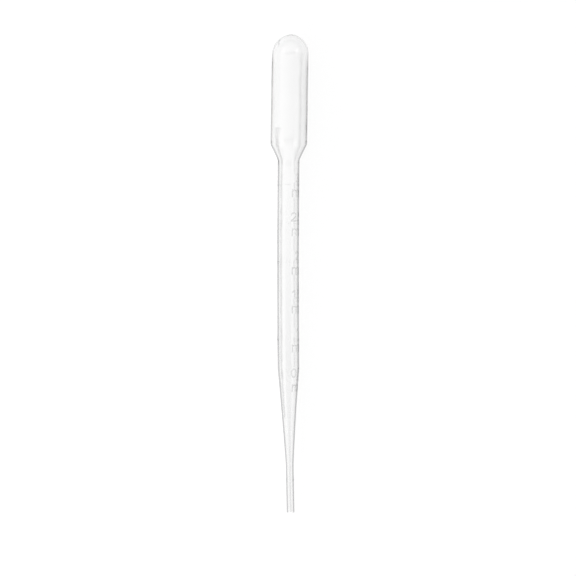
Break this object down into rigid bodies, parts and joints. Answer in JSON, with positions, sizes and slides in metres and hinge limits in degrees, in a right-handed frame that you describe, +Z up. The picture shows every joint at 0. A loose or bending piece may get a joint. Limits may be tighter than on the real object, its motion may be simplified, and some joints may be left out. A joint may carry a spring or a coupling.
{
  "type": "plastic dropper pipette",
  "caption": "Clear plastic dropper pipette with a squeeze bulb, a graduated stem, a taper and a slim open tip, moulded in one piece and lying on its side.",
  "frame": {"origin": "under the middle of the part's box, on the surface that it lies on", "axes": "+Z up, +Y along the part towards the bulb's dome, +X across it"},
  "size_m": [0.0126, 0.16, 0.013],
  "materials": {
    "clear_polyethylene": "thin, clear, slightly hazy soft plastic, smooth and faintly glossy"
  },
  "bodies": {
    "root": {"pipette": "clear_polyethylene"}
  },
  "joints": []
}
